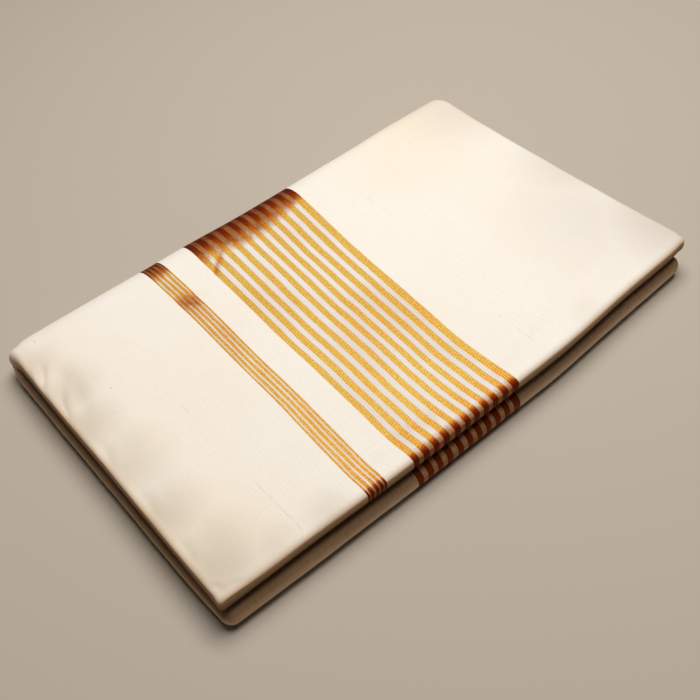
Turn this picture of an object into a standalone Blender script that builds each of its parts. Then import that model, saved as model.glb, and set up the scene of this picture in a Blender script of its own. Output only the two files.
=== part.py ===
# Folded kasavu saree: a flat pack of two bundles, joined by one broad fold along the back long edge.
# Metres, +Z up. X runs along the pack, the front long edge faces -Y, the underside lies at z = 0.
import math

import bmesh
import bpy
from mathutils import Vector

# Heights and wall
PACK_HEIGHT = 0.036
MID_HEIGHT = PACK_HEIGHT / 2
ROLL_RADIUS = PACK_HEIGHT / 4
CLOTH_WALL = 0.0016
CLEARANCE = 0.0003

# Broad back fold, a half ellipse through both bundles
BACK_FOLD_DEPTH = 0.030

# How square each bundle's corners are from above: 2 is a quarter circle
UPPER_CORNER_POWER = 5.0
LOWER_CORNER_POWER = 2.0

# Degrees through which the cloth turns, and shares of the flat between the rolls
ROLL_STEPS = (0, 18, 36, 54, 72, 90)
BACK_STEPS = (76, 62, 48, 36, 24, 12, 0)
FLAT_SHARES = (0.1, 0.25, 0.4, 0.55, 0.7, 0.84)

# Edges tucked between the bundles: degrees under the roll, then the run inward
UPPER_TUCKS = (
    {"degrees": 20, "inward": 0.0},
    {"degrees": 40, "inward": 0.0},
    {"degrees": 60, "inward": 0.0},
    {"degrees": 76, "inward": 0.0},
)
LOWER_TUCKS = (
    {"degrees": 20, "inward": 0.0},
    {"degrees": 40, "inward": 0.0},
    {"degrees": 62, "inward": 0.0},
    {"degrees": 82, "inward": 0.0},
    {"degrees": 82, "inward": 0.0035},
    {"degrees": 82, "inward": 0.0075},
)
MIN_TUCK_ROOM = 0.06

# Open mouth of the back fold at the left end: degrees of the end roll that each bundle's cloth keeps round the fold
MOUTH = (
    {"back": 0, "upper": 64, "lower": 64},
    {"back": 22, "upper": 58, "lower": 74},
    {"back": 46, "upper": 52, "lower": 84},
    {"back": 66, "upper": 62, "lower": 90},
    {"back": 90, "upper": 90, "lower": 90},
)
MOUTH_TUCK_FADE = 40
MOUTH_RECESS = 0.005

# Inner layers: ridged all round, with a crease between the bundles
INNER_LAYERS = 5
INNER_RADIUS = ROLL_RADIUS - CLOTH_WALL - 2 * CLEARANCE
INNER_ROLL_ANGLE = 80
INNER_FOLD_HEIGHT = MID_HEIGHT - CLOTH_WALL - 2 * CLEARANCE
INNER_FOLD_REACH = BACK_FOLD_DEPTH - CLOTH_WALL - 2 * CLEARANCE
INNER_LONG_STEPS = 20
INNER_SHORT_STEPS = 14
LAYER_RIDGE = 0.0005
CREASE_DEPTH = 0.0085
CREASE_HALF_HEIGHT = 0.0019
CREASE_ROUND = 0.0008
FRONT_CORNER_Y = -0.15
END_CLEARANCE = 0.004
CORNER_ANGLES = (0, 30, 60)

# Columns of faces across each stretch of cloth
PLAIN_COLUMNS = 8
NARROW_COLUMNS = 2
STRIP_COLUMNS = 2
BROAD_COLUMNS = 6

# Long edges: place along the pack, the front edge of each bundle, and the back edge
LONG_EDGES = (
    {"x": -0.237, "upper_front": -0.1541, "lower_front": -0.1597, "back": 0.1520},
    {"x": -0.228, "upper_front": -0.1543, "lower_front": -0.1601, "back": 0.1550},
    {"x": -0.210, "upper_front": -0.1547, "lower_front": -0.1607, "back": 0.1556},
    {"x": -0.160, "upper_front": -0.1560, "lower_front": -0.1626, "back": 0.1560},
    {"x": -0.080, "upper_front": -0.1588, "lower_front": -0.1647, "back": 0.1548},
    {"x": 0.000, "upper_front": -0.1599, "lower_front": -0.1655, "back": 0.1533},
    {"x": 0.080, "upper_front": -0.1603, "lower_front": -0.1655, "back": 0.1540},
    {"x": 0.160, "upper_front": -0.1567, "lower_front": -0.1620, "back": 0.1559},
    {"x": 0.224, "upper_front": -0.1548, "lower_front": -0.1598, "back": 0.1564},
    {"x": 0.248, "upper_front": -0.1522, "lower_front": -0.1590, "back": 0.1570},
)

# Short edges: place across the pack and the two ends of each bundle
SHORT_EDGES = (
    {"y": -0.155, "upper_left": -0.2458, "lower_left": -0.2462, "upper_right": 0.2491, "lower_right": 0.2414},
    {"y": -0.090, "upper_left": -0.2450, "lower_left": -0.2480, "upper_right": 0.2472, "lower_right": 0.2427},
    {"y": 0.000, "upper_left": -0.2440, "lower_left": -0.2478, "upper_right": 0.2458, "lower_right": 0.2430},
    {"y": 0.080, "upper_left": -0.2447, "lower_left": -0.2478, "upper_right": 0.2463, "lower_right": 0.2440},
    {"y": 0.120, "upper_left": -0.2436, "lower_left": -0.2482, "upper_right": 0.2475, "lower_right": 0.2462},
    {"y": 0.135, "upper_left": -0.2430, "lower_left": -0.2480, "upper_right": 0.2482, "lower_right": 0.2476},
    {"y": 0.146, "upper_left": -0.2456, "lower_left": -0.2466, "upper_right": 0.2490, "lower_right": 0.2490},
)

# Edges of the woven gold bands, read across the pack
BAND_EDGES = (
    {"y": -0.156, "narrow_left": -0.1208, "narrow_right": -0.1034, "broad_left": -0.0780, "broad_right": 0.0292},
    {"y": -0.135, "narrow_left": -0.1213, "narrow_right": -0.1041, "broad_left": -0.0796, "broad_right": 0.0272},
    {"y": -0.100, "narrow_left": -0.1198, "narrow_right": -0.1024, "broad_left": -0.0781, "broad_right": 0.0268},
    {"y": -0.050, "narrow_left": -0.1172, "narrow_right": -0.1004, "broad_left": -0.0762, "broad_right": 0.0306},
    {"y": 0.000, "narrow_left": -0.1161, "narrow_right": -0.0995, "broad_left": -0.0751, "broad_right": 0.0342},
    {"y": 0.050, "narrow_left": -0.1143, "narrow_right": -0.0973, "broad_left": -0.0724, "broad_right": 0.0383},
    {"y": 0.100, "narrow_left": -0.1134, "narrow_right": -0.0961, "broad_left": -0.0703, "broad_right": 0.0440},
    {"y": 0.152, "narrow_left": -0.1137, "narrow_right": -0.0960, "broad_left": -0.0682, "broad_right": 0.0490},
)

# Looks of each kind of cloth
LOOKS = {
    "cotton": {"color": (0.88, 0.82, 0.72, 1.0), "roughness": 0.85, "metallic": 0.0},
    "zari": {"color": (0.78, 0.50, 0.13, 1.0), "roughness": 0.45, "metallic": 0.6},
    "inner": {"color": (0.80, 0.73, 0.62, 1.0), "roughness": 0.9, "metallic": 0.0},
}
SHARP_EDGE = 35


def read_row(table, key, place, column):
    """A smooth curve through one column of a table."""
    rows = len(table)
    place = min(max(place, table[0][key]), table[-1][key])
    n = 0
    while n < rows - 2 and place > table[n + 1][key]:
        n += 1

    def slope(k):
        low, high = table[max(k - 1, 0)], table[min(k + 1, rows - 1)]
        return (high[column] - low[column]) / (high[key] - low[key])

    start, end = table[n], table[n + 1]
    span = end[key] - start[key]
    t = (place - start[key]) / span
    return (
        start[column] * (1 + 2 * t) * (1 - t) ** 2
        + slope(n) * span * t * (1 - t) ** 2
        + end[column] * t * t * (3 - 2 * t)
        - slope(n + 1) * span * t * t * (1 - t)
    )


def sin_deg(angle):
    return math.sin(math.radians(angle))


def cos_deg(angle):
    return math.cos(math.radians(angle))


def square_off(direction, power):
    """Pushes a direction outward at the corners, seen from above."""
    flat = math.hypot(direction.x, direction.y)
    if flat < 1e-9:
        return direction
    push = (abs(direction.x / flat) ** power + abs(direction.y / flat) ** power) ** (-1 / power)
    return Vector((direction.x * push, direction.y * push, direction.z))


class Bundle:
    """One of the two bundles, upper or lower."""

    def __init__(self, side):
        self.side = side
        self.up = 1 if side == "upper" else -1
        self.center = MID_HEIGHT + self.up * ROLL_RADIUS
        self.power = UPPER_CORNER_POWER if side == "upper" else LOWER_CORNER_POWER
        self.tucks = UPPER_TUCKS if side == "upper" else LOWER_TUCKS
        flats = [("flat", share) for share in FLAT_SHARES]
        self.stations = [("front", angle) for angle in reversed(ROLL_STEPS)]
        self.stations += flats + [("back", 90)] + [("back", angle) for angle in BACK_STEPS]

    def front_line(self, x):
        return read_row(LONG_EDGES, "x", x, self.side + "_front") + ROLL_RADIUS

    def back_line(self, x):
        return read_row(LONG_EDGES, "x", x, "back") - BACK_FOLD_DEPTH

    def end_line(self, y, end):
        inward = ROLL_RADIUS if end == "left" else -ROLL_RADIUS
        return read_row(SHORT_EDGES, "y", y, self.side + "_" + end) + inward

    def station_frame(self, x, station):
        """Center of the roll and outward direction of the flat cloth at a station."""
        kind, value = station
        front, back = self.front_line(x), self.back_line(x)
        if kind == "back":
            normal = Vector((0, cos_deg(value) / BACK_FOLD_DEPTH, self.up * sin_deg(value) / MID_HEIGHT)).normalized()
            height = MID_HEIGHT + self.up * (MID_HEIGHT * sin_deg(value) + cos_deg(value) * CLEARANCE / 2)
            on_fold = Vector((x, back + BACK_FOLD_DEPTH * cos_deg(value), height))
            return on_fold - normal * ROLL_RADIUS, normal
        y = front if kind == "front" else front + value * (back - front)
        return Vector((x, y, self.center)), Vector((0, 0, self.up))

    def top_angle(self, station, end):
        """Degrees of the end's roll that the cloth covers before it tucks in."""
        kind, value = station
        return read_row(MOUTH, "back", value, self.side) if end == "left" and kind == "back" else 90

    def tuck_share(self, x, station, end):
        """Share of the tuck that fits between the bundles, where they close toward the back fold."""
        kind, value = station
        if kind != "back":
            return 1.0
        center, _normal = self.station_frame(x, station)
        room = max(abs(center.z - MID_HEIGHT) / ROLL_RADIUS, MIN_TUCK_ROOM)
        share = min(math.degrees(math.asin(min(room, 1.0))) / self.tucks[-1]["degrees"], 1.0)
        if end == "left":
            share *= max(1 - (90 - value) / MOUTH_TUCK_FADE, MIN_TUCK_ROOM)
        return max(share, MIN_TUCK_ROOM)

    def place_x(self, column, station):
        """X of a column's roll center: a band's edge, a share between two edges, or an end line."""
        x = 0.0
        for _ in range(3):
            frame, _normal = self.station_frame(x, station)
            y = frame.y
            left, right = (edge(self, y) for edge in column["edges"])
            x = left + column["share"] * (right - left)
        return x

    def point(self, column, station, radius, tuck=None):
        """A point of the cloth at a radius from its roll center, or on a tucked edge."""
        kind, value = station
        x = self.place_x(column, station)
        center, normal = self.station_frame(x, station)
        end = column["end"]
        outward = {"left": -1, "right": 1, None: 0}[end]
        a = column["angle"] * self.top_angle(station, end) / 90 if end else 0
        b = value if kind == "front" else 0
        if tuck is None:
            direction = Vector((sin_deg(a) * outward, -sin_deg(b), 0)) + normal * (cos_deg(a) * cos_deg(b))
            return center + square_off(direction.normalized(), self.power) * radius
        share = self.tuck_share(x, station, end)
        center.x -= column["pull"] * tuck["inward"] * share * share
        if kind == "front":
            center.y += tuck["inward"]
            flat = Vector((sin_deg(a) * outward, -sin_deg(b), 0)).normalized()
            direction = flat * cos_deg(tuck["degrees"]) - normal * sin_deg(tuck["degrees"])
        else:
            turn = a + tuck["degrees"] * share
            direction = Vector((sin_deg(turn) * outward, 0, 0)) + normal * cos_deg(turn)
        return center + square_off(direction, self.power) * radius


def band_edge(name, shift):
    """Reads a band's edge, moved aside by half a seam."""
    return lambda bundle, y: read_row(BAND_EDGES, "y", y, name) + shift * CLEARANCE / 2


def end_edge(end):
    return lambda bundle, y: bundle.end_line(y, end)


def columns_between(left, right, count, pulls=(0, 0)):
    """Columns from edge to edge; the pulls say how far a tucked edge is drawn in toward each side."""
    columns = []
    for n in range(count + 1):
        share = n / count
        pull = pulls[0] + share * (pulls[1] - pulls[0])
        columns.append({"edges": (left, right), "share": share, "angle": 0, "end": None, "pull": pull})
    return columns


def end_columns(end, seam, count):
    """Columns from the end's roll to the nearest seam, left to right."""
    line = end_edge(end)
    pull = 1 if end == "right" else -1
    rolled = [{"edges": (line, line), "share": 0, "angle": angle, "end": end, "pull": pull} for angle in ROLL_STEPS[1:]]
    if end == "left":
        return rolled[::-1] + columns_between(line, seam, count, (pull, 0))
    return columns_between(seam, line, count, (0, pull)) + rolled


def cloth_wall(bundle, columns):
    """A closed wall of cloth: outer and inner surface, with the tucked edges and the rim between them."""
    outer, inner, faces = [], [], []

    def vertex(column, station, tuck=None):
        outer.append(bundle.point(column, station, ROLL_RADIUS, tuck))
        inner.append(bundle.point(column, station, ROLL_RADIUS - CLOTH_WALL, tuck))
        return len(outer) - 1

    stations = bundle.stations
    grid = [[vertex(column, station) for station in stations] for column in columns]
    last_column, last_station = len(columns) - 1, len(stations) - 1
    for i in range(last_column):
        for j in range(last_station):
            faces.append((grid[i][j], grid[i + 1][j], grid[i + 1][j + 1], grid[i][j + 1]))

    rim = [(i, 0) for i in range(last_column + 1)]
    if columns[0]["end"] == "left":
        rim = [(0, j) for j in range(last_station, 0, -1)] + rim
    if columns[-1]["end"] == "right":
        rim = rim + [(last_column, j) for j in range(1, last_station + 1)]
    above = [grid[i][j] for i, j in rim]
    for tuck in bundle.tucks:
        below = [vertex(columns[i], stations[j], tuck) for i, j in rim]
        for n in range(len(rim) - 1):
            faces.append((below[n], below[n + 1], above[n + 1], above[n]))
        above = below
    return close_wall(outer, inner, faces)


def close_wall(outer, inner, faces):
    """Joins two matching surfaces along their open edges."""
    count = len(outer)
    edges = {}
    for face in faces:
        for a, b in zip(face, face[1:] + face[:1]):
            edges[(a, b)] = True
    rim = [(b, a, a + count, b + count) for a, b in edges if (b, a) not in edges]
    back = [tuple(n + count for n in reversed(face)) for face in faces]
    return outer + inner, faces + back + rim


def inner_ring(bundle, z, inset):
    """Outline of the inner layers at a height, seen from above, counterclockwise."""
    pull = 0 if inset > 0 else -inset + CREASE_ROUND
    radius = inset if inset > 0 else CREASE_ROUND
    shift = pull - radius
    share = (z - MID_HEIGHT) / INNER_FOLD_HEIGHT
    fold = INNER_FOLD_REACH * math.sqrt(max(1 - share * share, 0))

    def corner(end, angles):
        x = bundle.end_line(FRONT_CORNER_Y, end)
        sign = 1 if end == "right" else -1
        middle = Vector((x - sign * pull, bundle.front_line(x) + pull, z))
        return [middle + radius * Vector((sign * sin_deg(a), -cos_deg(a), 0)) for a in angles]

    def side(end):
        sign = 1 if end == "right" else -1
        clear = max(MOUTH_RECESS if end == "left" else END_CLEARANCE, shift)
        corner_x = bundle.end_line(FRONT_CORNER_Y, end)
        start, stop = bundle.front_line(corner_x) + pull, bundle.back_line(corner_x)
        points = []
        for n in range(INNER_SHORT_STEPS + 1):
            y = start + (stop - start) * n / INNER_SHORT_STEPS
            inward = shift if n < INNER_SHORT_STEPS else clear
            points.append(Vector((bundle.end_line(y, end) - sign * inward, y, z)))
        return points + [Vector((points[-1].x, stop + fold * 0.5, z)), Vector((points[-1].x, stop + fold, z))]

    left_corner, right_corner = corner("left", CORNER_ANGLES[::-1]), corner("right", CORNER_ANGLES)
    right, left = side("right"), side("left")[::-1]
    front, back = [], []
    for n in range(1, INNER_LONG_STEPS):
        x = left_corner[-1].x + (right_corner[0].x - left_corner[-1].x) * n / INNER_LONG_STEPS
        front.append(Vector((x, bundle.front_line(x) + shift, z)))
        x = right[-1].x + (left[0].x - right[-1].x) * n / INNER_LONG_STEPS
        back.append(Vector((x, bundle.back_line(x) + fold, z)))
    return left_corner + front + right_corner + right + back + left


def inner_layers():
    """One rounded solid for the hidden layers, with a ridge for each layer and a crease between the bundles."""
    levels = []
    for bundle in (Bundle("lower"), Bundle("upper")):
        for n in range(2 * INNER_LAYERS - 1):
            angle = INNER_ROLL_ANGLE * (n / (INNER_LAYERS - 1) - 1)
            ridge = LAYER_RIDGE if n % 2 else 0
            height = bundle.center + INNER_RADIUS * sin_deg(angle)
            levels.append((bundle, height, INNER_RADIUS * cos_deg(angle) - ridge))
        if bundle.side == "lower":
            levels.append((bundle, MID_HEIGHT - CREASE_HALF_HEIGHT, -CREASE_DEPTH))
            levels.append((bundle, MID_HEIGHT + CREASE_HALF_HEIGHT, -CREASE_DEPTH))
    rings = [inner_ring(*level) for level in levels]
    count = len(rings[0])
    points = [point for ring in rings for point in ring]
    faces = [tuple(reversed(range(count))), tuple(range(len(points) - count, len(points)))]
    for k in range(len(rings) - 1):
        for n in range(count):
            low, following = k * count, (n + 1) % count
            faces.append((low + n, low + following, low + count + following, low + count + n))
    return points, faces


def add_object(name, points, faces, look):
    mesh = bpy.data.meshes.new(name)
    mesh.from_pydata([tuple(p) for p in points], [], faces)
    work = bmesh.new()
    work.from_mesh(mesh)
    bmesh.ops.recalc_face_normals(work, faces=work.faces)
    if work.calc_volume(signed=True) < 0:
        bmesh.ops.reverse_faces(work, faces=work.faces)
    work.to_mesh(mesh)
    work.free()
    mesh.shade_smooth()
    mesh.set_sharp_from_angle(angle=math.radians(SHARP_EDGE))
    material = bpy.data.materials.new(name + "_cloth")
    material.use_nodes = True
    shader = material.node_tree.nodes["Principled BSDF"]
    shader.inputs["Base Color"].default_value = look["color"]
    shader.inputs["Roughness"].default_value = look["roughness"]
    shader.inputs["Metallic"].default_value = look["metallic"]
    mesh.materials.append(material)
    piece = bpy.data.objects.new(name, mesh)
    bpy.context.scene.collection.objects.link(piece)
    return piece


def build():
    saree = bpy.data.objects.new("saree", None)
    bpy.context.scene.collection.objects.link(saree)
    upper, lower = Bundle("upper"), Bundle("lower")
    narrow_left, narrow_right = "narrow_left", "narrow_right"
    broad_left, broad_right = "broad_left", "broad_right"

    def stretch(left, right, count):
        return columns_between(band_edge(left, 1), band_edge(right, -1), count)

    cloth = (
        ("upper_left_plain", upper, end_columns("left", band_edge(narrow_left, -1), PLAIN_COLUMNS), "cotton"),
        ("upper_narrow_band", upper, stretch(narrow_left, narrow_right, NARROW_COLUMNS), "zari"),
        ("upper_plain_strip", upper, stretch(narrow_right, broad_left, STRIP_COLUMNS), "cotton"),
        ("upper_broad_band", upper, stretch(broad_left, broad_right, BROAD_COLUMNS), "zari"),
        ("upper_right_plain", upper, end_columns("right", band_edge(broad_right, 1), PLAIN_COLUMNS), "cotton"),
        ("lower_left_plain", lower, end_columns("left", band_edge(broad_left, -1), PLAIN_COLUMNS), "cotton"),
        ("lower_broad_band", lower, stretch(broad_left, broad_right, BROAD_COLUMNS), "zari"),
        ("lower_right_plain", lower, end_columns("right", band_edge(broad_right, 1), PLAIN_COLUMNS), "cotton"),
    )
    solids = [(name, *cloth_wall(bundle, columns), look) for name, bundle, columns, look in cloth]
    solids.append(("inner_layers", *inner_layers(), "inner"))
    every = [point for _name, points, _faces, _look in solids for point in points]
    low = [min(point[axis] for point in every) for axis in range(3)]
    high = [max(point[axis] for point in every) for axis in range(3)]
    base = Vector(((low[0] + high[0]) / 2, (low[1] + high[1]) / 2, low[2]))
    for name, points, faces, look in solids:
        piece = add_object(name, [point - base for point in points], faces, LOOKS[look])
        piece.parent = saree


for old in list(bpy.data.objects):
    bpy.data.objects.remove(old, do_unlink=True)
build()
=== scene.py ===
import math

import bpy
import numpy as np
from mathutils import Matrix, Vector


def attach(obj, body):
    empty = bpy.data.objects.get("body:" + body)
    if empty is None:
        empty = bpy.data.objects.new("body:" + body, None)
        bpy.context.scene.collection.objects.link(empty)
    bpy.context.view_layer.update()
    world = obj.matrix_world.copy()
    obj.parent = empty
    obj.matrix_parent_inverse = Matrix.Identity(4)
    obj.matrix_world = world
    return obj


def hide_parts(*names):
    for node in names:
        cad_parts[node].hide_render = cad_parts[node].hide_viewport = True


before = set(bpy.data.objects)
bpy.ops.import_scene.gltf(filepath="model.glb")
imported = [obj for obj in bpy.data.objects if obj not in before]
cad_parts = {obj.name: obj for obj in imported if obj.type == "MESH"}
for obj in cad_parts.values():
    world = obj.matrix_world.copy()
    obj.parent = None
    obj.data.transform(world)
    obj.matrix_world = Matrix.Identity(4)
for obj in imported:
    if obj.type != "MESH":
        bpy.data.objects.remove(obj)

scene = bpy.context.scene
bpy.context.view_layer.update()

# The folded pack, in metres, before its outline is centred on the origin
pack = {
    "height": 0.036,
    "rollRadius": 0.009,
    "backDepth": 0.030,
    "centerX": 0.00039,
    "centerY": -0.0045,
}
middle = pack["height"] / 2
rollRadius = pack["rollRadius"]


def tableOf(columns, *rows):
    # a short table: each row has its values under the names of the columns
    return [dict(zip(columns, row)) for row in rows]


# Long edges, read along the pack
longEdges = tableOf(
    ("x", "upperFront", "lowerFront", "back"),
    (-0.237, -0.1541, -0.1597, 0.1520),
    (-0.228, -0.1543, -0.1601, 0.1550),
    (-0.210, -0.1547, -0.1607, 0.1556),
    (-0.160, -0.1560, -0.1626, 0.1560),
    (-0.080, -0.1588, -0.1647, 0.1548),
    (0.000, -0.1603, -0.1655, 0.1533),
    (0.080, -0.1611, -0.1655, 0.1540),
    (0.160, -0.1567, -0.1620, 0.1559),
    (0.224, -0.1548, -0.1598, 0.1564),
    (0.248, -0.1522, -0.1590, 0.1570),
)

# Short edges, read across the pack
shortEdges = tableOf(
    ("y", "upperLeft", "lowerLeft", "upperRight", "lowerRight"),
    (-0.155, -0.2458, -0.2462, 0.2476, 0.2414),
    (-0.090, -0.2454, -0.2480, 0.2454, 0.2427),
    (0.000, -0.2449, -0.2478, 0.2440, 0.2430),
    (0.080, -0.2447, -0.2478, 0.2447, 0.2440),
    (0.120, -0.2442, -0.2475, 0.2461, 0.2462),
    (0.135, -0.2441, -0.2473, 0.2469, 0.2476),
    (0.146, -0.2434, -0.2462, 0.2479, 0.2490),
)

# Edges of the woven bands, read across the pack
bandEdges = tableOf(
    ("y", "narrowLeft", "narrowRight", "broadLeft", "broadRight"),
    (-0.156, -0.1208, -0.1034, -0.0780, 0.0292),
    (-0.135, -0.1213, -0.1041, -0.0796, 0.0272),
    (-0.100, -0.1198, -0.1024, -0.0781, 0.0268),
    (-0.050, -0.1172, -0.1004, -0.0762, 0.0306),
    (0.000, -0.1161, -0.0995, -0.0751, 0.0342),
    (0.050, -0.1143, -0.0973, -0.0724, 0.0383),
    (0.100, -0.1134, -0.0961, -0.0703, 0.0440),
    (0.152, -0.1137, -0.0960, -0.0682, 0.0490),
)

# The two bundles: which way each faces, how square its corners and rolls are, how far its nose is lifted
# and how much less by the corners and the back fold, how far its lip stands out, and its tuck
bundles = {
    "upper": {
        "name": "upper", "up": 1, "cornerPower": 5.0, "rollPower": 2.5, "noseLift": 0.0056, "cornerDrop": 0.5,
        "foldDrop": 1.4, "lipOut": (0.0002, 0.0020), "tuckDegrees": 76, "tuckRun": 0.0,
    },
    "lower": {
        "name": "lower", "up": -1, "cornerPower": 2.0, "rollPower": 2.2, "noseLift": 0.0, "cornerDrop": 0.0,
        "foldDrop": 0.0, "lipOut": (0.0, 0.0), "tuckDegrees": 82, "tuckRun": 0.0075,
    },
}

# How the cloth is laid
cloth = {
    "wall": 0.0005,
    "step": 0.0018,
    "flatLength": 0.285,
    "fewestColumns": 8,
    "rollDegrees": 7.5,
    "backDegrees": 5.0,
    "joinDegrees": (5, 75),  # round the back fold, where the two bundles come together
    "dropReach": (0.110, 0.144),  # before the back fold, where the nose of the left end comes down
    "tuckDegrees": 12,
    "tuckStep": 0.0025,
    "tuckFade": 30,
    "leastTuck": 0.06,
    "smoothAngle": math.radians(50),
}
tiny = 1e-9

# Soft creases: a trough where depth is above zero, a ridge where it is below.
# The last column is how far painted shade turns the gold to copper along it.
creaseColumns = ("start", "end", "bend", "width", "depth", "creaseShade")
creases = {
    "upper": tableOf(
        creaseColumns,
        # left edge
        ((-0.230, 0.112), (-0.243, 0.086), 0.001, 0.0032, 0.0012, 0),
        ((-0.236, 0.112), (-0.244, 0.094), 0.001, 0.0040, -0.0011, 0),
        ((-0.229, 0.084), (-0.244, 0.040), -0.002, 0.0040, 0.0015, 0),
        ((-0.233, 0.092), (-0.243, 0.066), 0.001, 0.0048, -0.0013, 0),
        ((-0.224, 0.104), (-0.231, 0.034), 0.003, 0.0070, 0.0010, 0),
        ((-0.234, 0.012), (-0.245, -0.020), 0.001, 0.0045, 0.0008, 0),
        ((-0.236, -0.048), (-0.244, -0.074), 0.001, 0.0050, 0.0009, 0),
        ((-0.238, -0.096), (-0.243, -0.122), 0.001, 0.0045, 0.0008, 0),
        # near left corner
        ((-0.244, -0.138), (-0.236, -0.152), 0.001, 0.0026, 0.0007, 0),
        ((-0.237, -0.148), (-0.222, -0.153), 0.001, 0.0024, 0.0005, 0),
        # pinch across the first stripes of the broad band, by the back fold
        ((-0.0735, 0.0900), (-0.0480, 0.1150), 0.0006, 0.0026, 0.0008, 0.24),
        # dip in the narrow band
        ((-0.1190, 0.0860), (-0.0900, 0.0810), 0.0, 0.0090, 0.0009, 0.22),
        # long soft troughs before the front roll
        ((-0.085, -0.134), (-0.020, -0.146), 0.001, 0.0050, 0.0004, 0.04),
        ((0.055, -0.143), (0.130, -0.128), -0.002, 0.0060, 0.0005, 0),
        ((0.095, -0.130), (0.190, -0.118), 0.002, 0.0080, 0.0004, 0),
        ((0.150, 0.020), (0.238, 0.060), 0.004, 0.0120, 0.0005, 0),
    ),
    "lower": tableOf(
        creaseColumns,
        # front
        ((-0.190, -0.160), (-0.110, -0.154), 0.001, 0.0040, 0.0005, 0),
        ((0.022, -0.163), (0.034, -0.150), 0.001, 0.0024, 0.0007, 0),
        ((0.090, -0.161), (0.165, -0.152), 0.001, 0.0040, 0.0005, 0),
        # hidden ends
        ((-0.246, 0.080), (-0.232, 0.040), 0.002, 0.0050, 0.0006, 0),
        ((-0.246, -0.060), (-0.230, -0.100), 0.002, 0.0050, 0.0005, 0),
        ((0.228, 0.090), (0.243, 0.050), 0.002, 0.0050, 0.0005, 0),
    ),
}

# How a crease fades along itself, and the brow beside it: how many widths away, and its share of the depth
creaseForm = {"fadeIn": (-0.15, 0.35), "fadeOut": (0.65, 1.15), "browAway": 1.7, "browShare": 0.35}

# Slow rise and fall of the layers underneath, as crossed waves: radians a metre along and across, and shifts
ripples = {
    "shift": {"upper": 1.7, "lower": 4.1},
    "waves": tableOf(
        ("height", "first", "second"),
        (0.00028, (34, 11, 1), (-13, 19, 2)),
        (0.00016, (23, 71, 1), (57, -31, 0)),
        (0.00007, (143, 67, 0), (-89, 121, 1)),
    ),
}

# Where the upper cloth slumps toward an edge, and how deep; the left slump fades toward the back fold
slumps = {
    "left": {"start": -0.202, "end": -0.240, "depth": 0.0016},
    "right": {"start": 0.224, "end": 0.242, "depth": 0.0004},
    "front": {"start": -0.134, "end": -0.154, "depth": 0.0004},
    "leftFade": (0.116, 0.148),
}


def smoothStep(low, high, value):
    share = np.clip((value - low) / (high - low), 0, 1)
    return share * share * (3 - 2 * share)


def readCurve(table, key, column, place):
    # smooth curve through one column of a table
    keys = np.array([row[key] for row in table], float)
    values = np.array([row[column] for row in table], float)
    places = np.arange(len(keys))
    before, after = np.maximum(places - 1, 0), np.minimum(places + 1, len(keys) - 1)
    slopes = (values[after] - values[before]) / (keys[after] - keys[before])
    place = np.clip(place, keys[0], keys[-1])
    n = np.clip(np.searchsorted(keys, place, side="right") - 1, 0, len(keys) - 2)
    span = keys[n + 1] - keys[n]
    t = (place - keys[n]) / span
    rise = values[n] * (1 + 2 * t) * (1 - t) ** 2 + values[n + 1] * t * t * (3 - 2 * t)
    return rise + span * (slopes[n] * t * (1 - t) ** 2 - slopes[n + 1] * t * t * (1 - t))


def frontLine(bundle, x):
    return readCurve(longEdges, "x", bundle["name"] + "Front", x) + rollRadius


def backLine(x):
    return readCurve(longEdges, "x", "back", x) - pack["backDepth"]


def endLine(bundle, y, end, share):
    # both bundles run together on the back fold, where share is 1
    own = readCurve(shortEdges, "y", bundle["name"] + end, y)
    both = (readCurve(shortEdges, "y", "upper" + end, y) + readCurve(shortEdges, "y", "lower" + end, y)) / 2
    return own + (both - own) * share + (rollRadius if end == "Left" else -rollRadius)


# Stations along the cloth from the front roll to the middle of the back fold
rollAngles = np.arange(90, 0, -cloth["rollDegrees"])
flatCount = int(cloth["flatLength"] / cloth["step"])
flatShares = np.linspace(0, 1, flatCount, endpoint=False)
backAngles = np.arange(90, -0.01, -cloth["backDegrees"])
stationKind = np.array([0] * len(rollAngles) + [1] * len(flatShares) + [2] * len(backAngles))
stationValue = np.concatenate([rollAngles, flatShares, backAngles])
stations = len(stationKind)
isFront, isBack = stationKind == 0, stationKind == 2
foldAngle = np.radians(np.where(isBack, stationValue, 90))
frontAngle = np.radians(np.where(isFront, stationValue, 0))
foldShare = np.where(isBack, 1 - smoothStep(*cloth["joinDegrees"], stationValue), 0)

# Length of cloth round the back fold from its start
fineAngles = np.radians(np.linspace(90, 0, 400))
fineArc = np.concatenate([[0], np.cumsum(np.hypot(
    np.diff(pack["backDepth"] * np.cos(fineAngles)), np.diff(middle * np.sin(fineAngles))))])
backArc = np.interp(90 - np.degrees(foldAngle), 90 - np.degrees(fineAngles), fineArc)


def stationFrames(bundle, x):
    # roll centres and outward directions at every station, for a column at x
    front, back = frontLine(bundle, x), backLine(x)
    sideways, upward = np.cos(foldAngle) / pack["backDepth"], np.sin(foldAngle) / middle
    long = np.hypot(sideways, upward)
    normalY, normalZ = sideways / long, bundle["up"] * upward / long
    share = np.where(stationKind == 1, stationValue, 0)
    onBack = back + pack["backDepth"] * np.cos(foldAngle) - normalY * rollRadius
    y = np.where(isBack, onBack, front + share * (back - front))
    z = middle + bundle["up"] * middle * np.sin(foldAngle) - normalZ * rollRadius
    unrolled = np.where(isBack, back + backArc, y)
    return y, z, normalY, normalZ, unrolled


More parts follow.
